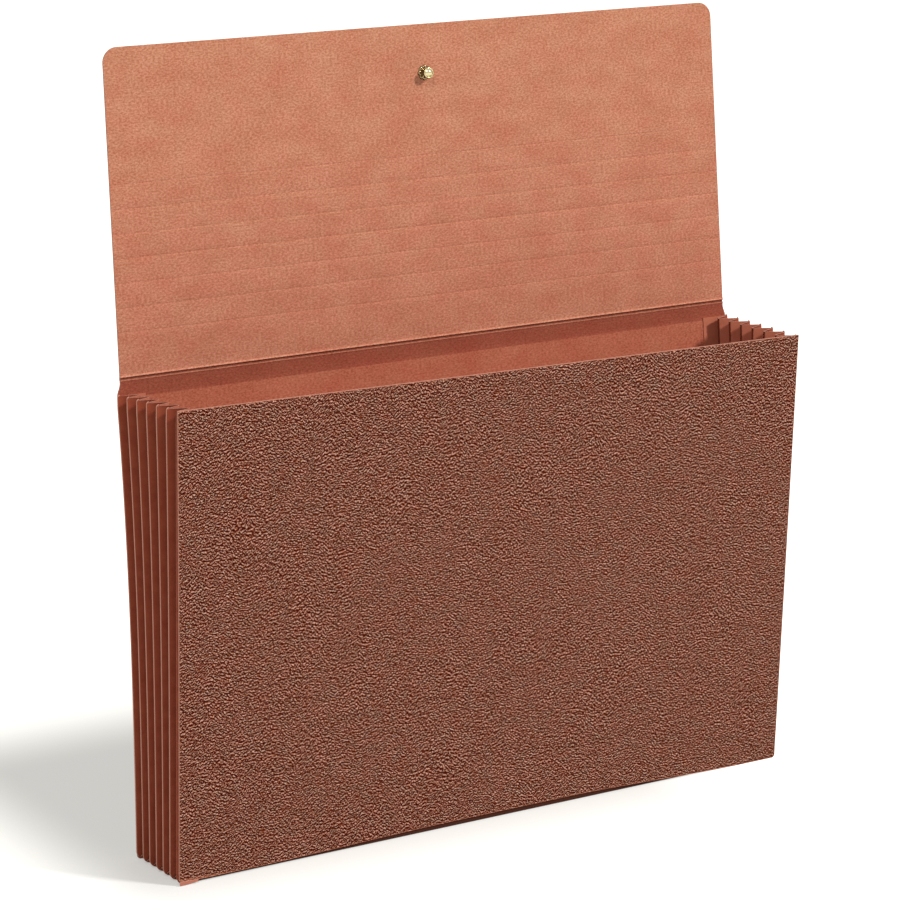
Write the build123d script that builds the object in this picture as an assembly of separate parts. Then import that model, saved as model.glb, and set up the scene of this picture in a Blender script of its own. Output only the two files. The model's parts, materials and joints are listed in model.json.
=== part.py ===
from build123d import *
import os
from math import asin, atan2, cos, hypot, radians, sin

# Legal-size expanding file wallet: two covers, a flap in one sheet with the back cover,
# and an accordion gusset folded round the left side, the foot and the right side.
# Millimetres and degrees. +Z is up and the front looks along -Y. The origin is on the floor,
# in the middle of the back cover's foot edge.

# Covers: the board is as long and as wide as a legal sheet with its margins.
cover_width = 381.0
cover_height = 254.0
board = 1.0
cover_corner = 2.0
front_lift = 1.5

# Gusset: one sheet of paper in six pleats. A strip runs from an outer fold, the ridge,
# to an inner fold, the valley. Pulled flat, the strips together are the full expansion.
# Depths are between the first and the last ridge, with the wallet as it stands.
paper = 0.5
pleat_count = 6
full_expansion = 133.35
foot_depth = 47.0
mouth_depth = 67.0
rim_drop = 0.8
ridge_outstand = 0.4
flange_width = 16.0
fold_gap = 0.15
valley_gap = 0.3
fold_clearance = 0.25
mitre_clearance = 0.4

# Flap: it leans back from the crease, narrows to its free edge and has evenly spaced score
# lines. It folds again at the outermost of them, where the leaf starts.
crease_rise = 7.0
crease_bead = 0.5
crease_gap = 1.3
crease_web = 0.3
flap_lean = 2.9
flap_length = 170.0
flap_setback = 1.75
flap_taper = 2.25
flap_corner = 8.0
leaf_start = 100.0
leaf_gap = 0.75
leaf_bead = 0.45
score_pitch = 12.7
score_count = 7
score_width = 0.8
score_depth = 0.25

# Closure stud: a headed post riveted through the leaf, over a scalloped collar.
stud_inset = 26.0
shank_radius = 1.5
shank_clearance = 0.05
collar_radius = 4.4
collar_height = 0.8
scallop_count = 8
scallop_radius = 0.9
neck_radius = 2.0
neck_height = 3.6
head_radius = 2.9
head_flare = 0.5
head_band = 0.7
head_rim = 0.6
head_crown = 1.0
cap_radius = 4.2
cap_height = 1.4
cap_seat = 0.6

# Worked out from the values above.
bead = fold_gap + paper
strip_width = full_expansion / (2 * pleat_count)
ridge_x = cover_width / 2 + ridge_outstand
rear_axis = -(board / 2 + bead)
flare = mouth_depth - foot_depth
rim = cover_height * cos(asin(flare / cover_height)) - rim_drop
crease_height = cover_height + crease_rise
flap_root_width = cover_width - 2 * flap_setback
stud_distance = flap_length - stud_inset
collar_top = board + collar_height
neck_top = collar_top + neck_height


def fold_angle(depth):
    """Angle of a strip to the square-on direction when the ridges span this depth."""
    half_pitch = depth / (2 * pleat_count)
    reach = hypot(strip_width, bead)
    return asin((half_pitch - valley_gap / 2) / reach) - atan2(bead, strip_width)


def ridge_plane(share):
    """Plane of one ridge, from the back one at share 0 to the front one at share 1.

    Its X runs along the foot, its Y up the side folds and its Z towards the front."""
    up = Vector(0, -share * flare, rim - bead).normalized()
    origin = Vector(0, rear_axis - share * foot_depth, bead)
    return Plane(origin=origin, x_dir=(1, 0, 0), z_dir=(0, -up.Z, up.Y))


def ridge_leg(share):
    """Length of a side fold, from the foot fold's axis up to the rim."""
    return hypot(share * flare, rim - bead)


def ridge_fold(share):
    """One ridge round the pocket: a round bead down the left side, along the foot and up the
    right side, mitred at the corners."""
    leg = ridge_leg(share)
    path = Polyline((-ridge_x, leg), (-ridge_x, 0), (ridge_x, 0), (ridge_x, leg))
    section = Plane(origin=path @ 0, z_dir=path % 0) * Circle(bead)
    return ridge_plane(share) * sweep(section, path=path, transition=Transition.RIGHT)


def flange(share, outward):
    """The gusset's glued margin on a cover, a flat U, with the end ridge along its edge."""
    leg = ridge_leg(share)
    outline = Pos(0, leg / 2) * Rectangle(2 * ridge_x, leg)
    inside = Pos(0, leg / 2 + flange_width) * Rectangle(2 * (ridge_x - flange_width), leg)
    margin = Pos(0, 0, outward * fold_gap) * extrude(outline - inside, outward * paper)
    return ridge_plane(share) * margin + ridge_fold(share)


def side_strip(share, side, toward):
    """A strip of the left or right gusset, hinged on the ridge at this share.

    It goes from the ridge into the pocket, to the back where toward is 1 and to the front where
    it is -1. Its foot is mitred. It is twisted a little, because the pocket is deeper at its
    mouth than at its foot."""
    foot = Vector(side * ridge_x, rear_axis - share * foot_depth, bead)
    up = Vector(0, -share * flare / (rim - bead), 1)
    start = bead + fold_clearance
    corners = [(start, fold_gap), (strip_width, fold_gap), (strip_width, bead), (start, bead)]

    def end_wire(angle, heights):
        along = Vector(-side * cos(angle), toward * sin(angle), 0)
        across = Vector(side * sin(angle), toward * cos(angle), 0)
        points = []
        for (reach, offset), height in zip(corners, heights):
            points.append(foot + up * height + along * reach + across * offset)
        return Wire.make_polygon(points)

    mitre = [reach + mitre_clearance for reach, _ in corners]
    mouth = [rim - bead for _ in corners]
    ends = [end_wire(fold_angle(foot_depth), mitre), end_wire(fold_angle(mouth_depth), mouth)]
    return Solid.make_loft(ends, ruled=True)


def foot_strip(share, toward):
    """A strip of the gusset under the pocket, mitred at both ends."""
    angle = toward * fold_angle(foot_depth)
    start = bead + fold_clearance
    near = ridge_x - start - mitre_clearance
    far = ridge_x - strip_width - mitre_clearance
    outline = Polyline((-near, start), (near, start), (far, strip_width), (-far, strip_width), close=True)
    foot = Vector(0, rear_axis - share * foot_depth, bead)
    plane = Plane(origin=foot, x_dir=(1, 0, 0), z_dir=(0, -cos(angle), sin(angle)))
    return plane.offset(-toward * fold_gap) * extrude(make_face(outline), -toward * paper)


def back_cover():
    """The back cover, drawn in a little above the pocket to the flap's width at the crease."""
    top = crease_height - crease_gap
    half = [(cover_width / 2, 0), (cover_width / 2, cover_height), (flap_root_width / 2, top)]
    outline = half + [(-x, z) for x, z in reversed(half)]
    sheet = extrude(Plane.XZ * make_face(Polyline(*outline, close=True)), board / 2, both=True)
    web_top = crease_height - crease_bead - fold_clearance
    web = Box(flap_root_width, crease_web, web_top - top, align=(Align.CENTER, Align.MAX, Align.MIN))
    return sheet + Pos(0, board / 2, top) * web


def front_cover():
    """The front cover, glued outside the front flange. Its foot corners are rounded."""
    top = ridge_leg(1) + rim_drop
    foot = front_lift - bead
    outline = Pos(0, (top + foot) / 2) * Rectangle(cover_width, top - foot)
    outline = fillet(outline.vertices().sort_by(Axis.Y)[:2], cover_corner)
    return ridge_plane(1).offset(bead) * extrude(outline, board)


def flap_plane():
    """Plane of the flap: origin on the crease, Y to the free edge, Z to the inner face."""
    lean = radians(flap_lean)
    origin = Vector(0, board / 2, crease_height)
    return Plane(origin=origin, x_dir=(1, 0, 0), z_dir=(0, -cos(lean), sin(lean)))


def flap_half_width(distance):
    """Half the flap's width at a distance from the crease."""
    return flap_root_width / 2 - flap_taper * distance / flap_length


def flap_outline(start, end):
    """Flat outline of the flap between two distances from the crease."""
    near, far = flap_half_width(start), flap_half_width(end)
    return make_face(Polyline((-near, start), (near, start), (far, end), (-far, end), close=True))


def cross_bead(distance, height, radius):
    """A round bead across the flap, on a fold."""
    length = 2 * flap_half_width(distance)
    return Pos(0, distance, height) * Rot(0, 90, 0) * Cylinder(radius, length)


def cross_web(start, end, height):
    """The thinned board beside a fold, from one distance to another."""
    return Pos(0, 0, height) * extrude(flap_outline(start, end), crease_web)


def score_line(distance):
    """A pressed groove across the inner face."""
    half = score_width / 2
    groove = [(distance - half, board), (distance + half, board), (distance, board - score_depth)]
    face = make_face(Plane.YZ * Polyline(*groove, close=True))
    return extrude(face, flap_root_width / 2, both=True)


def flap_span():
    """The flap from the crease to the leaf, with the crease's bead and the score lines."""
    sheet = extrude(flap_outline(crease_gap, leaf_start - leaf_gap), board)
    for number in range(1, score_count):
        sheet -= score_line(leaf_start - number * score_pitch)
    return flap_plane() * (sheet + cross_web(0, crease_gap, 0) + cross_bead(0, 0, crease_bead))


def flap_leaf():
    """The outer part of the flap, with rounded corners and the stud's hole."""
    outline = flap_outline(leaf_start + leaf_gap, flap_length)
    outline = fillet(outline.vertices().sort_by(Axis.Y)[-2:], flap_corner)
    sheet = extrude(outline, board)
    middle = board / 2
    sheet += cross_web(leaf_start, leaf_start + leaf_gap, middle - crease_web / 2)
    sheet += cross_bead(leaf_start, middle, leaf_bead)
    hole = Pos(0, stud_distance, middle) * Cylinder(shank_radius + shank_clearance, 2 * board)
    return flap_plane() * (sheet - hole)


def turned(profile):
    """A turned piece on the stud's axis, from a profile of radius and height."""
    face = make_face(Plane.XZ * profile)
    return flap_plane() * Pos(0, stud_distance, 0) * revolve(face, Axis.Z)


def stud_post():
    """The post: a shank through the leaf, a neck and a flared head with a domed middle."""
    flare_top = neck_top + head_flare
    band_top = flare_top + head_band
    dome_radius = head_radius - head_rim
    points = [
        (0, -cap_seat + shank_clearance),
        (shank_radius, -cap_seat + shank_clearance),
        (shank_radius, collar_top),
        (neck_radius, collar_top),
        (neck_radius, neck_top),
        (head_radius, flare_top),
        (head_radius, band_top),
        (dome_radius, band_top),
    ]
    crown = (0, band_top + head_crown)
    dome = TangentArc(crown, points[-1], tangent=(1, 0))
    return turned(Polyline(*points) + dome + Line(crown, points[0]))


def stud_collar():
    """The scalloped collar between the leaf and the post."""
    ring = Circle(collar_radius) - Circle(shank_radius + shank_clearance)
    ring -= PolarLocations(collar_radius, scallop_count) * Circle(scallop_radius)
    return flap_plane() * Pos(0, stud_distance, board) * extrude(ring, collar_height)


def rivet_cap():
    """The low domed cap outside the leaf, closed over the shank's end."""
    bore = shank_radius + shank_clearance
    crown = (0, -cap_height)
    dome = TangentArc(crown, (cap_radius, 0), tangent=(1, 0))
    inside = Polyline((cap_radius, 0), (bore, 0), (bore, -cap_seat), (0, -cap_seat), crown)
    return turned(dome + inside)


pieces = {
    "back_cover": back_cover(),
    "back_flange": flange(0, -1),
    "front_cover": front_cover(),
    "front_flange": flange(1, 1),
    "flap_span": flap_span(),
    "flap_leaf": flap_leaf(),
    "stud_post": stud_post(),
    "stud_collar": stud_collar(),
    "rivet_cap": rivet_cap(),
}
for number in range(1, pleat_count):
    pieces[f"ridge_fold_{number}"] = ridge_fold(number / pleat_count)
for number in range(1, pleat_count + 1):
    for name, ridge, toward in (("rear", number - 1, -1), ("front", number, 1)):
        share = ridge / pleat_count
        pieces[f"left_strip_{number}_{name}"] = side_strip(share, -1, toward)
        pieces[f"right_strip_{number}_{name}"] = side_strip(share, 1, toward)
        pieces[f"foot_strip_{number}_{name}"] = foot_strip(share, toward)

os.makedirs("parts", exist_ok=True)
for name, piece in pieces.items():
    export_step(piece, f"parts/{name}.step")
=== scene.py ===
import json
import math

import bmesh
import bpy
import numpy as np
from mathutils import Matrix, Vector


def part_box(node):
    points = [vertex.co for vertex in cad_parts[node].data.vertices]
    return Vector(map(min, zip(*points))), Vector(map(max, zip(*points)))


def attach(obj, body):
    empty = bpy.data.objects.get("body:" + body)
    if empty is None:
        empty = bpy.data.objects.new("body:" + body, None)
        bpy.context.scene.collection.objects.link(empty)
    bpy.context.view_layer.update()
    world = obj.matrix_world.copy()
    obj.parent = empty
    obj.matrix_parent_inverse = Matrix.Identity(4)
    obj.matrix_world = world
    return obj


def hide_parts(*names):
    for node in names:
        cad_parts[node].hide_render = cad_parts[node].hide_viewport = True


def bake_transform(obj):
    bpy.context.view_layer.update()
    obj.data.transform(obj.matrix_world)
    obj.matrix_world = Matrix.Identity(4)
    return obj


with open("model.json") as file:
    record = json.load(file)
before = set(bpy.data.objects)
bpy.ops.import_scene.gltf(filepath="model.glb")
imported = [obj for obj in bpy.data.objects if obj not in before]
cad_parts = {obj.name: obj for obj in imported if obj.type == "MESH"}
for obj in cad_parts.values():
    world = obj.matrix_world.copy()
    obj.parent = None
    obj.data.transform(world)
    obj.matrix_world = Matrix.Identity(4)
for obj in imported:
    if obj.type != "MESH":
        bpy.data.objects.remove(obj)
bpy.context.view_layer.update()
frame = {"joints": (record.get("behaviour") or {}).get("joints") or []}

# Legal-size expanding wallet: leather-grained covers, a fold-over flap and a pleated gusset.
# Lengths are in millimetres and become metres when a mesh is made. -Y is the front, +Z is up.
MM = 0.001
joints = {joint["name"]: joint for joint in frame["joints"]}


def pivot(joint):
    """A point on a joint's axis, in millimetres."""
    return np.array(joints[joint]["pos_m"]) / MM


def box(node):
    """Lowest and highest corner of a solid, in millimetres."""
    return [np.array(corner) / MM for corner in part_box(node)]


# Sizes read from the frame
half_width, back_face = box("back_cover")[1][:2]
board = 2 * back_face
rear_fold, front_fold = pivot("right_strip_1_rear_fold"), pivot("right_strip_6_front_fold")
ridge_x, rear_axis, fold_radius = rear_fold
foot_depth = rear_axis - front_fold[1]
rim = box("back_flange")[1][2]
leg = rim - fold_radius
front_axis = joints["right_strip_6_front_fold"]["axis"]
flare = -front_axis[1] / front_axis[2] * leg
crease = pivot("flap_crease")

# Sizes that the solids have too
pleats = 6
paper = 0.5
full_expansion = 133.35
strip_width = full_expansion / (2 * pleats)
valley_gap = 0.3
mitre_gap = 0.4
margin_width = 16.0
front_lift = 1.5
rim_drop = 0.8
cover_height = 254.0
flap_lean = math.radians(2.9)
flap_length = 170.0
flap_setback = 1.75
flap_taper = 2.25
flap_corner = 8.0
leaf_start = 100.0
score_pitch = 12.7
score_count = 7
stud_inset = 26.0

# Forms that only show here
bow = 4.2
rack_rise = 3.6
rack_sink = 1.4
rack_in = 1.2
foot_slip = 0.7
front_tuck = 0.3
tuck_low = 1.2
tuck_high = 3.6
tuck_start = 3.0
tuck_end = 14.0
ridge_corner = 4.2
ridge_tip = {"left": 1.2, "right": 0.3}
cover_corner = 2.0
crease_reach = 2.4
edge_round = 0.12
crisp_angle = math.radians(38)

# The third value of flat_mm on the gusset says how its paper looks there: a painted highlight on the
# folds from 0 to fold_highlight_to, painted shade with the depth in a pleat from pleat_shade_start to
# pleat_shade_end, and a painted dark shadow from foot_shadow_start to foot_shadow_end. Along the foot it is
# foot_mark, a little into the painted pleat shade, or foot_shadow_mark at the front, up to
# foot_shadow_height.
fold_highlight_to = 0.6
pleat_shade_start = 1.0
pleat_shade_end = 8.0
foot_shadow_start = 20.0
foot_shadow_end = 24.0
foot_mark = 3.0
foot_shadow_mark = 30.0
foot_shadow_height = 3.0


def smooth(low, high, value):
    """0 below low, 1 above high and a smooth step, 3 t^2 - 2 t^3, between."""
    t = np.clip((value - low) / (high - low), 0, 1)
    return t * t * (3 - 2 * t)


def bump(value, middle, width):
    """A bell of height 1 round a middle: e to the minus square of the distance over the width."""
    return np.exp(-((value - middle) / width) ** 2)


def rounded(reach, height, radius):
    """Rounds a sheet's corner: each square ring round the corner's centre becomes a round one."""
    side, foot = radius - reach, radius - height
    square = np.maximum(side, foot)
    scale = square / np.maximum(np.hypot(side, foot), 1e-9)
    inside = (side > 0) & (foot > 0)
    return np.where(inside, radius - side * scale, reach), np.where(inside, radius - foot * scale, height)


def settled(points):
    """The pocket as it has settled, with t the share of its height and s the share from back to front.
    It bows forward by bow times 4 t (1 - t) (0.7 + 0.6 t), all of it at the back and none at the front.
    It is racked, with l the share from right to left: it stands up by rack_rise l t s^0.65, moves in by
    l s (rack_in + t) and sinks by rack_sink (1 - l) t s^2. The front fold is tucked back along the foot by
    front_tuck, and the foot has slipped to the left by foot_slip times (1 - t)^2."""
    x, y, z = np.moveaxis(points, -1, 0)
    t = np.clip(z / rim, 0, 1)
    share = np.clip((rear_axis - y) / (foot_depth + flare * t), 0, 1)
    left = (1 - x / half_width) / 2
    tuck = smooth(0.9, 1, share) * smooth(-tuck_high, -tuck_low, -z)
    tuck = tuck * smooth(tuck_start, tuck_end, half_width - abs(x))
    y = y - (1 - share) * bow * 4 * t * (1 - t) * (0.7 + 0.6 * t) + front_tuck * tuck
    z = z + t * (rack_rise * left * share ** 0.65 - rack_sink * (1 - left) * share ** 2)
    return np.stack([x + left * share * (rack_in + t) - foot_slip * (1 - t) ** 2, y, z], -1)


def normals(points):
    """Unit normals of a grid of points, row direction cross column direction."""
    across = np.cross(np.gradient(points, axis=0), np.gradient(points, axis=1))
    return across / np.linalg.norm(across, axis=-1, keepdims=True)


def quads(rows, columns, wrap):
    """Corner numbers of a grid's four-sided faces; wrap joins the last column to the first."""
    row, column = np.meshgrid(np.arange(rows - 1), np.arange(columns - (not wrap)), indexing="ij")
    near, far = row * columns + column, row * columns + (column + 1) % columns
    return np.stack([near, far, far + columns, near + columns], -1).reshape(-1, 4)


def piece(name, points, faces, finish_of_face, finishes, flat):
    """One mesh object: points in millimetres, faces, a finish for each face and, for the patterns,
    each point's place on the flat sheet."""
    mesh = bpy.data.meshes.new(name)
    mesh.from_pydata((points * MM).tolist(), [], [list(face) for face in faces])
    for material in finishes:
        mesh.materials.append(material)
    mesh.polygons.foreach_set("material_index", np.asarray(finish_of_face, np.int32))
    place = mesh.attributes.new("flat_mm", "FLOAT_VECTOR", "POINT")
    place.data.foreach_set("vector", np.asarray(flat, np.float32).ravel())
    work = bmesh.new()
    work.from_mesh(mesh)
    bmesh.ops.recalc_face_normals(work, faces=work.faces)
    work.to_mesh(mesh)
    work.free()
    mesh.shade_smooth()
    mesh.set_sharp_from_angle(angle=crisp_angle)
    made = bpy.data.objects.new(name, mesh)
    bpy.context.scene.collection.objects.link(made)
    return made


def sheet(name, outer, inner, flat, finishes):
    """A closed sheet between an outer and an inner grid of points, with rounded cut edges.
    finishes are those of the outer face, the inner face and the edges. flat holds each grid
    point's place on the sheet and its distance to the nearest edge that shows wear."""
    rows, columns = outer.shape[:2]
    rims, rim_flat = [], []
    for edge, inside in ((-1, -2), (0, 1)):
        away = outer[:, edge] - outer[:, inside]
        away = away / np.linalg.norm(away, axis=-1, keepdims=True)
        rims.append((outer[:, edge] + inner[:, edge]) / 2 + edge_round * away)
        rim_flat.append(flat[:, edge])
    loop = np.concatenate([outer, rims[0][:, None], inner[:, ::-1], rims[1][:, None]], 1)
    places = np.concatenate([flat, rim_flat[0][:, None], flat[:, ::-1], rim_flat[1][:, None]], 1)
    around = loop.shape[1]
    kind = np.full(around, 2)
    kind[:columns - 1], kind[columns + 1:2 * columns] = 0, 1
    faces = quads(rows, around, True).tolist()
    finish_of_face = np.tile(kind, rows - 1).tolist()
    near = np.arange(columns - 1)
    end_face = np.stack([near, near + 1, 2 * columns - near - 1, 2 * columns - near], -1)
    corners = np.array([[columns - 1, columns, columns + 1], [0, 2 * columns, 2 * columns + 1]])
    for start in (0, (rows - 1) * around):
        faces += (end_face + start).tolist() + (corners + start).tolist()
        finish_of_face += [2] * (columns + 1)
    return piece(name, loop.reshape(-1, 3), faces, finish_of_face, finishes, places.reshape(-1, 3))


def bar(name, sections, flat, finishes, kind):
    """A closed profile carried along a path: a grid whose rows are the profile at each station.
    kind gives the finish of each side of the profile, and the two ends take the last finish."""
    rows, around = sections.shape[:2]
    faces = quads(rows, around, True).tolist()
    faces += [list(range(around)), [(rows - 1) * around + n for n in range(around)]]
    finish_of_face = np.tile(kind, rows - 1).tolist() + [len(finishes) - 1] * 2
    return piece(name, sections.reshape(-1, 3), faces, finish_of_face, finishes, flat.reshape(-1, 3))


# Finishes


def linear(code):
    """An sRGB hex colour as linear red, green, blue and alpha."""
    parts = [int(code[n:n + 2], 16) / 255 for n in (1, 3, 5)]
    return [p / 12.92 if p <= 0.04045 else ((p + 0.055) / 1.055) ** 2.4 for p in parts] + [1.0]


def add(tree, kind, inputs=(), **settings):
    """Adds a node with its settings and returns its outputs; inputs are pairs of a socket's name or number
    and a value or link."""
    made = tree.nodes.new("ShaderNode" + kind)
    for name, value in settings.items():
        setattr(made, name, value)
    for socket, value in inputs:
        if isinstance(value, bpy.types.NodeSocket):
            tree.links.new(value, made.inputs[socket])
        else:
            made.inputs[socket].default_value = value
    return made.outputs


def finish(name):
    """A new material, its node tree and its main shader."""
    made = bpy.data.materials.new(name)
    made.use_nodes = True
    return made, made.node_tree, made.node_tree.nodes["Principled BSDF"]


def embossed_leather_board():
    """Fibre board embossed with a leather grain: short level wrinkles that sway, with a painted highlight on
    their upper slopes and painted shade on their lower ones, which also stand for the grain's darker print,
    finely speckled, browner and redder in patches. It is dull, and pale with wear along its edges. The slope
    is the difference of the same noise a step above and below, and sets the painted light and shade. The
    specks are drawn as coarse as the main view needs to show them."""
    sway_size, sway_reach = (30.0, 90.0, 1.0), (3, 17, 0)
    wrinkle_size, slope_step = (1.25, 0.95, 1.0), 0.31
    speck_size, patch_size = 0.72, 7.0
    wear_start, wear_end, wrinkle_height = 0.15, 0.55, 0.8
    made, tree, shader = finish("embossed_leather_board")
    flat = add(tree, "Attribute", attribute_name="flat_mm")["Vector"]
    place = add(tree, "Mapping", [("Vector", flat), ("Scale", sway_size)], vector_type="TEXTURE")[0]
    sway = add(tree, "TexNoise", [("Vector", place), ("Scale", 1.0), ("Detail", 1.0)],
               noise_dimensions="2D")["Color"]
    bent = add(tree, "VectorMath", [(0, sway), (1, sway_reach), (2, flat)], operation="MULTIPLY_ADD")[0]
    grain = []
    for step in (slope_step, -slope_step):
        place = add(tree, "Mapping", [("Vector", bent), ("Location", (0, step, 0)), ("Scale", wrinkle_size)],
                    vector_type="TEXTURE")[0]
        grain.append(add(tree, "TexNoise", [("Vector", place), ("Scale", 1.0), ("Detail", 1.3),
                                            ("Distortion", 0.4)], noise_dimensions="2D")["Fac"])
    slope = add(tree, "Math", [(0, grain[0]), (1, grain[1])], operation="SUBTRACT")[0]
    # Painted light and shade: pale where a wrinkle's slope faces up, dark where it faces down.
    slope_light = add(tree, "MapRange", [("Value", slope), ("From Min", -0.075), ("From Max", 0.16)],
              interpolation_type="SMOOTHSTEP")[0]
    colour = add(tree, "Mix", [(0, slope_light), (6, linear("#4c0e01")), (7, linear("#b68671"))], data_type="RGBA")[2]
    speck = add(tree, "TexNoise", [("Vector", flat), ("Scale", 1 / speck_size), ("Detail", 0.0)],
                noise_dimensions="2D")["Fac"]
    speck = add(tree, "MapRange", [("Value", speck), ("From Min", 0.3), ("From Max", 0.7)])[0]
    tint = add(tree, "Mix", [(0, speck), (6, (0.5, 0.24, 0.04, 1)), (7, (1.5, 1.76, 1.96, 1))],
               data_type="RGBA")[2]
    colour = add(tree, "VectorMath", [(0, colour), (1, tint)], operation="MULTIPLY")[0]
    patch = add(tree, "TexNoise", [("Vector", flat), ("Scale", 1 / patch_size), ("Detail", 2.0)],
                noise_dimensions="2D")["Fac"]
    patch = add(tree, "MapRange", [("Value", patch), ("From Min", 0.35), ("From Max", 0.65)])[0]
    tint = add(tree, "Mix", [(0, patch), (6, (1.06, 0.97, 0.94, 1)), (7, (0.94, 0.98, 0.96, 1))],
               data_type="RGBA")[2]
    colour = add(tree, "VectorMath", [(0, colour), (1, tint)], operation="MULTIPLY")[0]
    edge = add(tree, "SeparateXYZ", [(0, flat)])["Z"]
    wear = add(tree, "MapRange", [("Value", edge), ("From Min", wear_start), ("From Max", wear_end),
                                  ("To Min", 0.6), ("To Max", 0.0)])[0]
    colour = add(tree, "Mix", [(0, wear), (6, colour), (7, linear("#c0775c"))], data_type="RGBA")[2]
    tree.links.new(colour, shader.inputs["Base Color"])
    relief = add(tree, "Bump", [("Height", grain[0]), ("Strength", 1.0),
                                ("Distance", wrinkle_height * MM)])[0]
    tree.links.new(relief, shader.inputs["Normal"])
    shader.inputs["Roughness"].default_value = 0.6
    shader.inputs["Specular IOR Level"].default_value = 0.03
    return made


# Painted light and shade on the board across the crease: height from the crease in millimetres and red,
# green, blue. Below the crease the board is painted darker and redder, as shade inside the pocket, and
# darkest for 10 mm under the crease, as the crease's painted shadow; the groove is painted dark as its
# shade and the two beads beside it are painted pale as highlights.
crease_light_and_shade = [
    (-25.0, (0.9, 0.7, 0.645)), (-10.3, (0.88, 0.68, 0.62)), (-9.7, (0.66, 0.42, 0.38)),
    (-2.4, (0.61, 0.385, 0.345)), (-1.4, (0.6, 0.38, 0.34)), (-1.1, (0.95, 0.86, 0.83)),
    (-0.75, (0.95, 0.86, 0.83)), (-0.5, (0.42, 0.31, 0.28)), (0.3, (0.42, 0.31, 0.28)),
    (0.6, (1.3, 1.42, 1.46)), (1.2, (1.3, 1.42, 1.46)), (1.7, (1.04, 1.06, 1.07)), (5.0, (1.0, 1.0, 1.0))]


def red_fibre_board(name, creased):
    """The board's plain side: matted red fibre, blotched softly, redder in patches, with a fine grit. The
    creased one has painted light and shade across the crease and grows paler towards the flap's free edge."""
    cloud_size, fibre_size, patch_size = (26.0, 15.0, 1.0), (1.5, 0.9, 1.0), 13.0
    paler_start, fibre_height = 20.0, 0.1
    made, tree, shader = finish(name)
    flat = add(tree, "Attribute", attribute_name="flat_mm")["Vector"]
    place = add(tree, "Mapping", [("Vector", flat), ("Scale", cloud_size)], vector_type="TEXTURE")[0]
    cloud = add(tree, "TexNoise", [("Vector", place), ("Scale", 1.0), ("Detail", 5.0), ("Roughness", 0.65)],
                noise_dimensions="2D")["Fac"]
    cloud = add(tree, "MapRange", [("Value", cloud), ("From Min", 0.3), ("From Max", 0.7)])[0]
    colour = add(tree, "Mix", [(0, cloud), (6, linear("#b87056")), (7, linear("#c27e63"))],
                 data_type="RGBA")[2]
    place = add(tree, "Mapping", [("Vector", flat), ("Scale", fibre_size)], vector_type="TEXTURE")[0]
    fibre = add(tree, "TexNoise", [("Vector", place), ("Scale", 1.0), ("Detail", 3.0), ("Roughness", 0.7)],
                noise_dimensions="2D")["Fac"]
    grit = add(tree, "MapRange", [("Value", fibre), ("From Min", 0.3), ("From Max", 0.7)])[0]
    tint = add(tree, "Mix", [(0, grit), (6, (0.75, 0.62, 0.52, 1)), (7, (1.21, 1.34, 1.44, 1))],
               data_type="RGBA")[2]
    colour = add(tree, "VectorMath", [(0, colour), (1, tint)], operation="MULTIPLY")[0]
    patch = add(tree, "TexNoise", [("Vector", flat), ("Scale", 1 / patch_size), ("Detail", 2.0)],
                noise_dimensions="2D")["Fac"]
    patch = add(tree, "MapRange", [("Value", patch), ("From Min", 0.35), ("From Max", 0.65)])[0]
    tint = add(tree, "Mix", [(0, patch), (6, (1.01, 0.97, 0.98, 1)), (7, (0.99, 1.03, 1.02, 1))],
               data_type="RGBA")[2]
    colour = add(tree, "VectorMath", [(0, colour), (1, tint)], operation="MULTIPLY")[0]
    if creased:
        # Painted light and shade across the crease, from crease_light_and_shade.
        height = add(tree, "SeparateXYZ", [(0, flat)])["Y"]
        low, high = crease_light_and_shade[0][0], crease_light_and_shade[-1][0]
        share = add(tree, "MapRange", [("Value", height), ("From Min", crease[2] + low),
                                       ("From Max", crease[2] + high)])[0]
        tint = add(tree, "ValToRGB", [(0, share)])["Color"]
        stops = tint.node.color_ramp.elements
        stops.remove(stops[1])
        stops[0].color = (*crease_light_and_shade[0][1], 1)
        for place, shade in crease_light_and_shade[1:]:
            stops.new((place - low) / (high - low)).color = (*shade, 1)
        colour = add(tree, "VectorMath", [(0, colour), (1, tint)], operation="MULTIPLY")[0]
        paler = add(tree, "MapRange", [("Value", height), ("From Min", crease[2] + paler_start),
                                       ("From Max", crease[2] + flap_length)])[0]
        tint = add(tree, "Mix", [(0, paler), (6, (1, 1, 1, 1)), (7, (1.06, 1.15, 1.11, 1))],
                   data_type="RGBA")[2]
        colour = add(tree, "VectorMath", [(0, colour), (1, tint)], operation="MULTIPLY")[0]
    tree.links.new(colour, shader.inputs["Base Color"])
    relief = add(tree, "Bump", [("Height", fibre), ("Strength", 0.3), ("Distance", fibre_height * MM)])[0]
    tree.links.new(relief, shader.inputs["Normal"])
    shader.inputs["Roughness"].default_value = 0.8
    shader.inputs["Specular IOR Level"].default_value = 0.2
    return made


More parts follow.
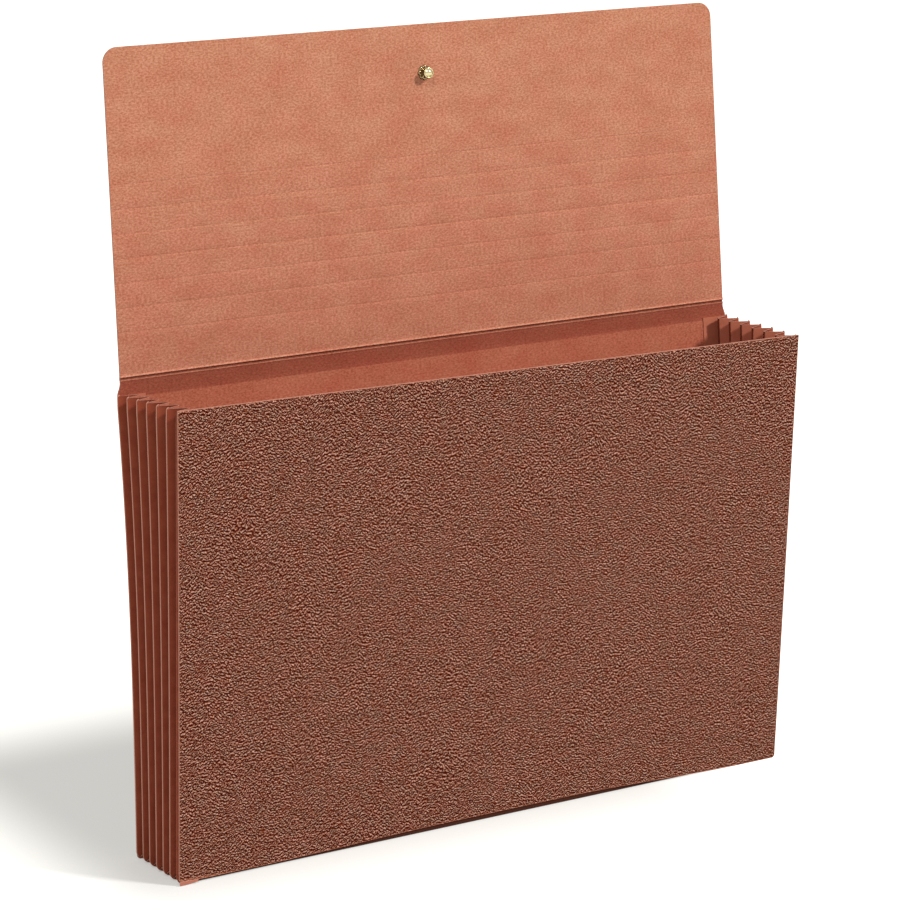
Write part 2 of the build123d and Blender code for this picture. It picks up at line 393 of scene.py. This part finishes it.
def gusset_paper(name, dark, pale, painted_fold_mark, pleat_shade):
    """Smooth red-brown gusset paper, painted pale along its outer folds as a highlight where they catch the
    light, with painted shade down in the pleats and a painted dark shadow along the front foot."""
    cloud_size, fibre_size, fibre_height = 9.0, 0.8, 0.06
    made, tree, shader = finish(name)
    flat = add(tree, "Attribute", attribute_name="flat_mm")["Vector"]
    cloud = add(tree, "TexNoise", [("Vector", flat), ("Scale", 1 / cloud_size), ("Detail", 4.0),
                                   ("Roughness", 0.65)], noise_dimensions="2D")["Fac"]
    cloud = add(tree, "MapRange", [("Value", cloud), ("From Min", 0.3), ("From Max", 0.7)])[0]
    colour = add(tree, "Mix", [(0, cloud), (6, linear(dark)), (7, linear(pale))], data_type="RGBA")[2]
    edge = add(tree, "SeparateXYZ", [(0, flat)])["Z"]
    # Painted shade, darker with the depth in a pleat.
    shade = add(tree, "MapRange", [("Value", edge), ("From Min", pleat_shade_start), ("From Max", pleat_shade_end),
                                   ("To Min", 1.0), ("To Max", pleat_shade)])[0]
    colour = add(tree, "VectorMath", [(0, colour), (1, shade)], operation="MULTIPLY")[0]
    # Painted highlight: pale along the outer folds, where they catch the light.
    wear = add(tree, "MapRange", [("Value", edge), ("From Min", 0.0), ("From Max", fold_highlight_to),
                                  ("To Min", painted_fold_mark), ("To Max", 0.0)])[0]
    colour = add(tree, "Mix", [(0, wear), (6, colour), (7, linear("#f6bba3"))], data_type="RGBA")[2]
    # Painted shadow: dark along the front foot, under the cover's lower edge.
    foot_shadow = add(tree, "MapRange", [("Value", edge), ("From Min", foot_shadow_start), ("From Max", foot_shadow_end),
                                  ("To Max", 0.92)])[0]
    colour = add(tree, "Mix", [(0, foot_shadow), (6, colour), (7, linear("#34170b"))], data_type="RGBA")[2]
    tree.links.new(colour, shader.inputs["Base Color"])
    fibre = add(tree, "TexNoise", [("Vector", flat), ("Scale", 1 / fibre_size), ("Detail", 3.0)],
                noise_dimensions="2D")["Fac"]
    relief = add(tree, "Bump", [("Height", fibre), ("Strength", 0.2), ("Distance", fibre_height * MM)])[0]
    tree.links.new(relief, shader.inputs["Normal"])
    shader.inputs["Roughness"].default_value = 0.75
    shader.inputs["Specular IOR Level"].default_value = 0.12
    return made


def cut_edge():
    """The cut edge of the board or the paper: pale torn fibre."""
    fibre_size = 0.9
    made, tree, shader = finish("cut_fibre_edge")
    place = add(tree, "TexCoord")["Object"]
    fibre = add(tree, "TexNoise", [("Vector", place), ("Scale", 1 / (fibre_size * MM)),
                                   ("Detail", 2.0)])["Fac"]
    colour = add(tree, "Mix", [(0, fibre), (6, linear("#b47a65")), (7, linear("#d8a490"))],
                 data_type="RGBA")[2]
    tree.links.new(colour, shader.inputs["Base Color"])
    shader.inputs["Roughness"].default_value = 0.85
    return made


def polished_brass(name, dark, pale):
    """Stamped brass: yellow and bright, or browner in the copy for the collar and neck, where the brown is
    painted dark reflection and shade, with faint scuffs.
    """
    scuff_size = 1.2
    made, tree, shader = finish(name)
    place = add(tree, "TexCoord")["Object"]
    scuff = add(tree, "TexNoise", [("Vector", place), ("Scale", 1 / (scuff_size * MM)),
                                   ("Detail", 3.0)])["Fac"]
    rough = add(tree, "MapRange", [("Value", scuff), ("To Min", 0.08), ("To Max", 0.2)])[0]
    tree.links.new(rough, shader.inputs["Roughness"])
    colour = add(tree, "Mix", [(0, scuff), (6, linear(dark)), (7, linear(pale))],
                 data_type="RGBA")[2]
    tree.links.new(colour, shader.inputs["Base Color"])
    shader.inputs["Metallic"].default_value = 1.0
    return made


leather = embossed_leather_board()
cut = cut_edge()
brass = polished_brass("polished_brass", "#b5a87c", "#dacfa8")
# The collar and neck are painted browner: a painted dark reflection and shade on the brass.
brass_in_shade = polished_brass("shaded_brass", "#665138", "#9c8862")
# One gusset paper in two copies. The inside copy is paler, painted light for the inside of the pocket, with
# no painted fold highlight or pleat shade; the outside copy has both.
gusset = gusset_paper("gusset_paper", "#96442d", "#a55138", 0.95, 0.48)
gusset_inside = gusset_paper("gusset_paper_inside", "#b2664c", "#bd7158", 0.0, 1.0)
plain_board = red_fibre_board("red_fibre_board", False)
creased_board = red_fibre_board("creased_fibre_board", True)


# Covers


def stations(length, radius, count):
    """Distances along an edge of a sheet, close together at a rounded corner at each end."""
    ends = np.linspace(0, radius, 9)
    return np.concatenate([ends, np.linspace(radius, length - radius, count)[1:-1], length - ends[::-1]])


def edge_distance(*distances):
    """Distance to the nearest of several edges."""
    return np.minimum.reduce(np.broadcast_arrays(*distances))


def front_panel():
    """The front cover: flat, leaning forward, its foot corners rounded. It sits a little askew: its top
    edge drops from left to right, and its foot edge is arched and rests on the right. The edge wear is
    wider at the foot on the left."""
    left_lift, middle_gain, right_drop = 1.6, 1.8, 3.3
    top_lift, top_slant = 0.8, 2.5
    side_slope, foot_skew, foot_wear = 0.0055, 0.6, 3
    lean = math.atan2(flare, leg)
    low, high = front_lift - fold_radius, math.hypot(flare, leg) + rim_drop
    rise, span = np.meshgrid(stations(high - low, cover_corner, 60),
                             stations(2 * half_width, cover_corner, 90), indexing="ij")
    side = np.minimum(span, 2 * half_width - span)
    reach, height = rounded(side, rise, cover_corner)
    x = np.where(span < half_width, reach - half_width, half_width - reach)
    up = np.array([0, -math.sin(lean), math.cos(lean)])
    forward = np.array([0, -math.cos(lean), -math.sin(lean)])
    foot = np.array([0, rear_axis - foot_depth, fold_radius])
    across, share = x / half_width, height / (high - low)
    arch = left_lift + middle_gain * smooth(-0.8, -0.1, across) - right_drop * smooth(0.24, 0.9, across)
    shift = (1 - share) * (arch - front_lift) + share * (top_lift - top_slant * across)
    slip = side_slope * height + foot_skew * (1 - share) * (1 - across) - foot_slip * (1 - share) ** 2
    middle = foot + (x + slip)[..., None] * [1, 0, 0] + (low + height + shift)[..., None] * up
    worn_foot = rise / (1 + foot_wear * smooth(0.75, 1, -across))
    flat = np.stack([x, height, edge_distance(side, worn_foot, high - low - rise)], -1)
    outer, inner = middle + forward * (fold_radius + board), middle + forward * fold_radius
    made = sheet("front_panel", outer, inner, flat, (leather, plain_board, cut))
    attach(made, "front")
    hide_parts("front_cover")


def back_half_width(z):
    """Half the back cover's width at a height: drawn in above the pocket to the flap's width."""
    return half_width - flap_setback * smooth(cover_height - 2, crease[2] - crease_reach, z)


def back_panel():
    """The back cover up to the crease, bowed a little as the pocket has settled."""
    top, shoulder = crease[2] - crease_reach, cover_height - 4 * cover_corner
    heights = np.concatenate([np.linspace(0, cover_corner, 9),
                              np.linspace(3 * cover_corner, shoulder - cover_corner, 50),
                              np.linspace(shoulder, top, 16)])
    z, across = np.meshgrid(heights, stations(2 * half_width, cover_corner, 90), indexing="ij")
    share = across / half_width - 1
    half = back_half_width(z)
    side, height = rounded(half * (1 - abs(share)), z, cover_corner)
    x = np.sign(share) * (half - side)
    middle = settled(np.stack([x, 0 * x, height], -1))
    away = normals(middle)
    away = away * np.sign(away[..., 1:2])
    flat = np.stack([x, height, edge_distance(half_width - abs(x), height)], -1)
    outer, inner = middle + away * board / 2, middle - away * board / 2
    made = sheet("back_panel", outer, inner, flat, (leather, creased_board, cut))
    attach(made, "back")
    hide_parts("back_cover")


# Flap

flap_up = np.array([0, math.sin(flap_lean), math.cos(flap_lean)])
flap_inward = np.array([0, -math.cos(flap_lean), math.sin(flap_lean)])


def on_flap(x, distance, height):
    """A point on the flap: across, up from the crease, and in from the outer face."""
    return crease + x[..., None] * [1, 0, 0] + distance[..., None] * flap_up + height[..., None] * flap_inward


def flap_half_width(distance):
    """Half the flap's width at a distance from the crease."""
    return half_width - flap_setback - flap_taper * np.clip(distance, 0, None) / flap_length


def crease_fold():
    """The crease: a groove inside between two low beads, each a bell, and a round bead outside. It bends
    between the back cover and the flap."""
    upper_bead, groove, lower_bead, outer_bead = 0.4, 0.55, 0.25, 0.4
    ease_length = 0.6
    distance, share = np.meshgrid(np.linspace(-crease_reach, crease_reach, 41), np.linspace(-1, 1, 90),
                                  indexing="ij")
    x = share * np.where(distance < 0, back_half_width(crease[2] + distance), flap_half_width(distance))
    below = np.clip(distance, None, 0)[..., None] * (np.array([0, 0, 1]) - flap_up)
    ease = smooth(0, ease_length, crease_reach - abs(distance))
    relief = upper_bead * bump(distance, 1.0, 0.5) - groove * bump(distance, 0.0, 0.45)
    relief = relief + lower_bead * bump(distance, -0.9, 0.4)
    swell = -outer_bead * bump(distance, 0.0, 0.8)
    inner = on_flap(x, distance, board + ease * relief) + below
    outer = on_flap(x, distance, ease * swell) + below
    flat = np.stack([x, crease[2] + distance, half_width - abs(x)], -1)
    made = sheet("crease_fold", outer, inner, flat, (leather, creased_board, cut))
    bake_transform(made)


def flap_sheet():
    """The flap from the crease to its free edge, with pressed score lines inside, each a bell, and rounded
    corners. Its rows lie close round the outermost score line."""
    score_depth, score_width, score_reach, score_print = 0.16, 0.35, 0.6, 0.05
    bend_reach, middle_share = 1.6, 0.94
    scores = leaf_start - score_pitch * np.arange(score_count)
    near_scores = (scores[:, None] + np.linspace(-score_reach, score_reach, 5)).ravel()
    fold_rows = leaf_start + np.linspace(-1.5 * bend_reach, 1.5 * bend_reach, 13)
    corner = np.linspace(0, flap_corner, 13)
    rows = np.concatenate([np.linspace(crease_reach, flap_length - flap_corner, 44), near_scores, fold_rows,
                           flap_length - corner])
    shares = np.concatenate([corner / half_width - 1, np.linspace(-middle_share, middle_share, 70),
                             1 - corner[::-1] / half_width])
    distance, share = np.meshgrid(np.unique(np.round(rows, 3)), shares, indexing="ij")
    half = flap_half_width(distance)
    side, tip = half * (1 - abs(share)), flap_length - distance
    reach, height = rounded(side, tip, flap_corner)
    x, place = np.sign(share) * (half - reach), flap_length - height
    groove = sum(bump(place, score, score_width) for score in scores)
    inner = on_flap(x, place, board - score_depth * groove)
    outer = on_flap(x, place, score_print * groove)
    flat = np.stack([x, crease[2] + place, edge_distance(side, tip)], -1)
    made = sheet("flap_sheet", outer, inner, flat, (leather, creased_board, cut))
    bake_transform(made)
    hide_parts("flap_span", "flap_leaf")


# Gusset


def fold_angle(depth):
    """Angle of a strip to the square-on direction when the ridges span this depth: its lip then reaches
    half the pitch of the pleats, less half the valley's gap."""
    half_pitch = depth / (2 * pleats)
    reach = math.hypot(strip_width, fold_radius)
    return math.asin((half_pitch - valley_gap / 2) / reach) - math.atan2(fold_radius, strip_width)


foot_angle, mouth_angle = fold_angle(foot_depth), fold_angle(foot_depth + flare)


def strip_profile():
    """Section of a strip, as reach from the ridge and offset into the pleat: a flat sheet whose inner
    edge is rolled over a quarter round to meet its neighbour in the valley."""
    outside, inside = fold_radius, fold_radius - paper
    lip_width, lip_share = 0.7 * paper, 0.48
    turn = np.linspace(0, math.pi / 2, 6)
    roll_reach = strip_width - paper * (1 - np.sin(turn))
    roll_offset = inside + paper * (1 - np.cos(turn))
    along = np.linspace(0, strip_width - paper, 9)
    lip = outside + lip_share * valley_gap
    reach = np.concatenate([along[:-1], roll_reach, [strip_width, strip_width - lip_width], along[::-1]])
    offset = np.concatenate([0 * along[:-1] + inside, roll_offset, [lip, lip], 0 * along + outside])
    return reach, offset


def ridge_line(share, height):
    """Place along Y of a ridge at a height above the foot fold: a share of the pocket's depth there, which
    grows evenly from the foot to the mouth."""
    return rear_axis - share * (foot_depth + flare * height / leg)


def pleat_strip(side, number, way):
    """One strip of the gusset from its ridge to its valley, mitred at the foot. On the sides it is
    twisted a little, because the pocket is deeper at its mouth."""
    ridge, toward = (number - 1, -1) if way == "rear" else (number, 1)
    share = ridge / pleats
    reach, offset = strip_profile()
    if side == "foot":
        run, reach = np.meshgrid(np.concatenate([
            np.linspace(0, strip_width, 14), np.linspace(strip_width, 2 * ridge_x - strip_width, 40)[1:-1],
            2 * ridge_x - np.linspace(strip_width, 0, 14)]), reach, indexing="ij")
        start = reach + mitre_gap
        place = start + (2 * ridge_x - 2 * start) * run / (2 * ridge_x)
        corner, depth = rounded(np.minimum(place, 2 * ridge_x - place), reach, ridge_corner)
        x = np.where(place < ridge_x, corner - ridge_x, ridge_x - corner)
        height, angle = 0 * x, foot_angle
        along = np.array([0, toward * math.sin(angle), math.cos(angle)]) + 0 * x[..., None]
        across = np.array([0, toward * math.cos(angle), -math.sin(angle)]) + 0 * x[..., None]
        flat_place = x
    else:
        sign, tip = -1 if side == "left" else 1, ridge_tip[side]
        run, reach = np.meshgrid(np.concatenate([np.linspace(0, strip_width, 14),
                                                 np.linspace(strip_width, leg - tip, 40)[1:],
                                                 np.linspace(leg - tip, leg, 8)[1:]]), reach, indexing="ij")
        start = reach + mitre_gap
        place = start + (leg - start) * run / leg
        depth, height = rounded(reach, place, ridge_corner)
        depth, below = rounded(depth, leg - height, tip)
        height = leg - below
        x = sign * ridge_x + 0 * height
        angle = foot_angle + (mouth_angle - foot_angle) * height / leg
        along = np.stack([-sign * np.cos(angle), toward * np.sin(angle), 0 * angle], -1)
        across = np.stack([sign * np.sin(angle), toward * np.cos(angle), 0 * angle], -1)
        flat_place = height
    base = np.stack([x, ridge_line(share, height), fold_radius + height], -1)
    points = settled(base + along * depth[..., None] + across * offset[..., None])
    pattern_step, inner_sides = 40, 8
    # The third value grows with the depth in the pleat, for the painted pleat shade.
    flat = np.stack([flat_place, reach + pattern_step * number, depth + fold_highlight_to], -1)
    kind = (np.arange(points.shape[1]) < inner_sides).astype(int)
    finishes = (gusset, gusset_inside, cut)
    made = bar(f"{side}_pleat_{number}_{way}", points, flat, finishes, kind)
    node = f"{side}_strip_{number}_{way}"
    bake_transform(made)
    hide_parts(node)


def half_ridge(radius):
    """Reach in from the side and height of half a ridge, from its rounded top down to the foot's middle."""
    tip = np.linspace(radius, 0, 7)
    side = np.concatenate([np.linspace(leg, ridge_corner, 40), np.linspace(ridge_corner, 0, 9)[1:]])[1:]
    foot = np.concatenate([np.linspace(0, ridge_corner, 9), np.linspace(ridge_corner, ridge_x, 30)[1:]])[1:]
    reach = np.concatenate([tip, 0 * side, foot])
    height = np.concatenate([0 * tip + leg, side, 0 * foot])
    reach, height = rounded(reach, height, ridge_corner)
    reach, below = rounded(reach, leg - height, radius)
    return reach, leg - below


def ridge_path():
    """Across and height of a ridge: down the left side, along the foot and up the right side."""
    (left, down), (right, up) = half_ridge(ridge_tip["left"]), half_ridge(ridge_tip["right"])
    return np.concatenate([left - ridge_x, (ridge_x - right)[-2::-1]]), np.concatenate([down, up[-2::-1]])


def ridge_bead(name, share):
    """The rounded outside of a fold: a round bead along the ridge, with a painted highlight along its outer
    line, less of it at the front, a little painted shade along the foot, and a painted dark shadow along
    the front foot."""
    sides, highlight_fade, front_fade = 16, 0.7, 0.4
    x, height = ridge_path()
    run, rise = np.gradient(x), np.gradient(height)
    length = np.hypot(run, rise)
    outward = np.stack([rise / length, 0 * x, -run / length], -1)
    path = settled(np.stack([x, ridge_line(share, height), fold_radius + height], -1))
    turn = np.linspace(0, 2 * math.pi, sides, endpoint=False)
    forward = np.array([0, -1, 0])
    section = np.cos(turn)[:, None] * outward[:, None] + np.sin(turn)[:, None] * forward
    points = path[:, None] + fold_radius * section
    along = np.concatenate([[0], np.cumsum(np.hypot(np.diff(x), np.diff(height)))])
    # Along the foot the bead takes a little painted pleat shade, and at the front the painted shadow.
    mark = foot_shadow_mark if share == 1 else foot_mark
    painted_fold_mark = mark * smooth(0, 2 * ridge_corner, ridge_x - abs(x))[:, None]
    # The painted highlight is strongest on the bead's outer line and fades round it.
    crest = highlight_fade * fold_radius * np.minimum(turn, 2 * math.pi - turn) + front_fade * (share == 1)
    flat = np.stack(np.broadcast_arrays(along[:, None], turn * fold_radius, painted_fold_mark + crest), -1)
    return bar(name, points, flat, (gusset, cut), np.zeros(sides, int))


def glued_margin(name, share, outward):
    """The gusset's margin on a cover: a flat U, its outer corners rounded like the ridge."""
    inset, run = np.linspace(0, margin_width, 9), np.linspace(0, 1, 40)
    side = np.stack(np.broadcast_arrays(inset, leg + (inset - leg) * run[:, None]), -1)
    foot = np.stack(np.broadcast_arrays(inset + (ridge_x - inset) * run[:, None], inset), -1)
    half = np.concatenate([side, foot[1:]])
    reach, height = rounded(half[..., 0], half[..., 1], ridge_corner)
    x = np.concatenate([reach - ridge_x, (ridge_x - reach)[-2::-1]])
    height = np.concatenate([height, height[-2::-1]])
    middle = settled(np.stack([x, ridge_line(share, height), fold_radius + height], -1))
    away = normals(middle)
    away = away * np.sign(away[..., 1:2]) * -outward
    inner, outer = middle + away * (fold_radius - paper), middle + away * fold_radius
    # The front margin is painted dark along its foot, as shadow.
    foot_shadowed = share * smooth(-foot_shadow_height - 1, -foot_shadow_height, -height)
    flat = np.stack([x, height, foot_mark + (foot_shadow_mark - foot_mark) * foot_shadowed], -1)
    return sheet(name, outer, inner, flat, (gusset_inside,) * 3)


def margin_tab():
    """A loose corner of the front margin that shows below the cover's foot, on the left: a short strip
    whose lower edge rises and curls forward towards its inner end."""
    tab_start, tab_end, tab_top = 1.0, 11.5, 1.9
    low_edge, low_rise = 0.05, 0.65
    clearance, curl = 0.2, 0.3
    across, share = np.meshgrid(np.linspace(tab_start, tab_end, 16), np.linspace(0, 1, 7), indexing="ij")
    x, low = across - ridge_x, low_edge + low_rise * smooth(4, 12, across)
    rise = low + (tab_top - low) * share
    plane = rear_axis - foot_depth - fold_radius - board
    y = plane - clearance - curl * smooth(7, 12, across) * (1 - share)
    outer = np.stack([x, y - paper / 2, rise], -1)
    # The tab takes about a quarter of the painted fold highlight.
    flat = np.stack([x, rise, 0.75 * fold_highlight_to + 0 * rise], -1)
    made = sheet("margin_tab", outer, outer + [0, paper / 2, 0], flat, (gusset, gusset, cut))
    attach(made, "front")
    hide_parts("front_flange")


def gusset_pieces():
    """Every strip, ridge and margin of the gusset."""
    for number in range(1, pleats + 1):
        for way in ("rear", "front"):
            for side in ("left", "right", "foot"):
                pleat_strip(side, number, way)
    for number in range(1, pleats):
        made = ridge_bead(f"ridge_bead_{number}", number / pleats)
        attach(made, f"ridge_{number}")
        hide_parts(f"ridge_fold_{number}")
    for name, share, outward in (("back", 0, -1), ("front", 1, 1)):
        for made in (ridge_bead(f"{name}_bead", share), glued_margin(f"{name}_margin", share, outward)):
            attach(made, name)
            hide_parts(f"{name}_flange")


# Closure stud


def turned(name, profile, node, metal, petals=0):
    """A turned piece on the stud's axis: radius and height above the flap's outer face, carried round.
    Petals, if any, are parted by furrows, 1 minus the size of a cosine round the axis times the square of
    the radius's share, which draw the rim in by a seventh and its height down by almost half."""
    sides, drawn_in, drawn_down = 96, 0.14, 0.45
    turn = np.linspace(0, 2 * math.pi, sides, endpoint=False)
    radius, height = np.array(profile).T[:, :, None]
    furrow = 0 * turn
    if petals:
        furrow = (1 - abs(np.cos(petals / 2 * turn))) * np.clip(radius / radius.max(), 0, 1) ** 2
    around = radius * (1 - drawn_in * furrow)
    level = board + (height - board) * (1 - drawn_down * furrow)
    points = on_flap(around * np.cos(turn), flap_length - stud_inset + around * np.sin(turn), level)
    made = bar(name, points, np.zeros_like(points), (metal,), np.zeros(sides, int))
    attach(made, "leaf")
    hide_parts(node)


def arc(centre, radius, start, end, count):
    """Points of an arc, as radius and height, between two angles in degrees."""
    turn = np.radians(np.linspace(start, end, count))
    return [(centre[0] + radius * c, centre[1] + radius * s) for c, s in zip(np.cos(turn), np.sin(turn))]


def stud():
    """The closure stud: a headed post over a petalled collar, with a rivet cap outside. The head is a
    shallow dome inside a rolled rim. Each outline starts and ends close to the axis."""
    axis, hole = 0.1, 1.6
    collar_radius, collar_roll = 3.2, 1.0
    neck_radius, neck_low, neck_high = 1.9, board + 0.6, board + 4.3
    rim_radius, rim_roll, rim_level = 2.5, 0.4, board + 4.8
    dome_level, dome_radius = board + 3.03, 2.92
    cap_radius, cap_level, cap_curve = 4.2, 5.6, 7.0
    collar = [(hole, board), (collar_radius + 0.9 * collar_roll, board)]
    collar += arc((collar_radius, board), collar_roll, 0, 90, 10)
    collar += [(collar_radius - 0.6, board + 0.9 * collar_roll), (hole, board + 0.8 * collar_roll)]
    turned("stud_collar_petals", collar, "stud_collar", brass_in_shade, petals=8)
    neck = [(axis, neck_low), (neck_radius, neck_low), (neck_radius, neck_high - 0.7)]
    neck += [(neck_radius + 0.1, neck_high - 0.2), (neck_radius + 0.4, neck_high), (axis, neck_high)]
    turned("stud_neck", neck, "stud_post", brass_in_shade)
    head = [(axis, neck_high - 0.05), (neck_radius + 0.4, neck_high - 0.05)]
    head += arc((rim_radius, rim_level), rim_roll, -80, 120, 12) + [(rim_radius - 0.3, rim_level + 0.15)]
    head += arc((0, dome_level), dome_radius, 41.1, 88.2, 16)
    turned("stud_head", head, "stud_post", brass)
    cap = [(axis, 0.0), (cap_radius, 0.0)] + arc((0, cap_level), cap_curve, -53.1, -89.2, 12)
    turned("stud_rivet_cap", cap, "rivet_cap", brass)


# Stage

# The photograph's camera: yaw, pitch and roll in degrees, lens, film and place in millimetres
camera_turns = (29.840, 12.919, -1.276)
camera_lens = 128.265
film_width = 36.0
camera_place = (-848.7, -1491.3, 591.8)


def photo_camera():
    """A camera at the photograph's place, turned right by its yaw, down by its pitch, and rolled a little."""
    yaw, pitch, roll = np.radians(camera_turns)
    right = Vector((math.cos(yaw), -math.sin(yaw), 0))
    ahead = Vector((math.sin(yaw) * math.cos(pitch), math.cos(yaw) * math.cos(pitch), -math.sin(pitch)))
    up = right.cross(ahead)
    side = math.cos(roll) * right + math.sin(roll) * up
    top = -math.sin(roll) * right + math.cos(roll) * up
    data = bpy.data.cameras.new("photo_camera")
    data.lens, data.sensor_width = camera_lens, film_width
    data.clip_end = 50
    made = bpy.data.objects.new("photo_camera", data)
    turned_to = Matrix((side, top, -ahead)).transposed().to_4x4()
    made.matrix_world = Matrix.Translation(Vector(camera_place) * MM) @ turned_to
    bpy.context.scene.collection.objects.link(made)
    bpy.context.scene.camera = made


def softbox(name, place, aim, size, power):
    """A square area light at a place, turned to a point, in metres and watts."""
    data = bpy.data.lights.new(name, "AREA")
    data.size, data.energy = size, power
    made = bpy.data.objects.new(name, data)
    made.location = place
    made.rotation_euler = (Vector(aim) - Vector(place)).to_track_quat("-Z", "Y").to_euler()
    bpy.context.scene.collection.objects.link(made)


def seen_rays(tree):
    """1 for rays that end in the eye, straight, mirrored or through glass, and 0 for light on its way."""
    ray = add(tree, "LightPath")
    seen = add(tree, "Math", [(0, ray["Is Camera Ray"]), (1, ray["Is Glossy Ray"])], operation="MAXIMUM")[0]
    return add(tree, "Math", [(0, seen), (1, ray["Is Transmission Ray"])], operation="MAXIMUM")[0]


def white_sky():
    """A sky that looks white and lights the object softly, with about a quarter of that strength."""
    soft_light, white = 0.26, 1.0
    world = bpy.data.worlds.new("white_studio")
    world.use_nodes = True
    bpy.context.scene.world = world
    tree = world.node_tree
    sky = tree.nodes["Background"]
    level = add(tree, "MapRange", [("Value", seen_rays(tree)), ("To Min", soft_light), ("To Max", white)])[0]
    tree.links.new(level, sky.inputs["Strength"])
    sky.inputs["Color"].default_value = (1, 1, 1, 1)


def pale_floor():
    """A pale floor that keeps the shadow. It whitens with the distance from a box round the object and its
    shadow, one and a half times as fast to the sides. Its lengths are in metres."""
    half, level = 9.0, -0.0003
    box_shift, box_half = (0.05, -0.07, 0), (half_width * MM - 0.05, 0.1, 1)
    box_glow, white_from, speed = 0.38, 0.13, (1.5, 1, 0)
    mesh = bpy.data.meshes.new("floor")
    corners = [(-half, -half, level), (half, -half, level), (half, half, level), (-half, half, level)]
    mesh.from_pydata(corners, [], [(0, 1, 2, 3)])
    floor = bpy.data.objects.new("floor", mesh)
    bpy.context.scene.collection.objects.link(floor)
    pale, tree, shader = finish("pale_floor")
    shader.inputs["Base Color"].default_value = linear("#c9c8c6")
    shader.inputs["Roughness"].default_value = 0.9
    shader.inputs["Specular IOR Level"].default_value = 0.0
    shader.inputs["Emission Color"].default_value = linear("#fffdf6")
    place = add(tree, "VectorMath", [(0, add(tree, "TexCoord")["Object"]), (1, box_shift)])[0]
    place = add(tree, "VectorMath", [(0, place)], operation="ABSOLUTE")[0]
    place = add(tree, "VectorMath", [(0, place), (1, box_half)], operation="SUBTRACT")[0]
    place = add(tree, "VectorMath", [(0, place), (1, (0, 0, 0))], operation="MAXIMUM")[0]
    place = add(tree, "VectorMath", [(0, place), (1, speed)], operation="MULTIPLY")[0]
    away = add(tree, "VectorMath", [(0, place)], operation="LENGTH")["Value"]
    glow = add(tree, "MapRange", [("Value", away), ("From Min", 0.0), ("From Max", white_from),
                                  ("To Min", box_glow)], interpolation_type="SMOOTHSTEP")[0]
    glow = add(tree, "Math", [(0, seen_rays(tree)), (1, glow)], operation="MULTIPLY")[0]
    tree.links.new(glow, shader.inputs["Emission Strength"])
    mesh.materials.append(pale)


def studio():
    """The floor and the sky, a key light from the front right and a weaker fill from the front left."""
    aim = (0, 0, 0.2)
    white_sky()
    pale_floor()
    softbox("key_light", (4.32, -5.58, 5.33), aim, 1.08, 590)
    softbox("fill_light", (-1.7, -1.7, 2.6), aim, 1.4, 33)
    bpy.context.scene.view_settings.view_transform = "Standard"


front_panel()
back_panel()
crease_fold()
flap_sheet()
gusset_pieces()
margin_tab()
stud()
photo_camera()
studio()
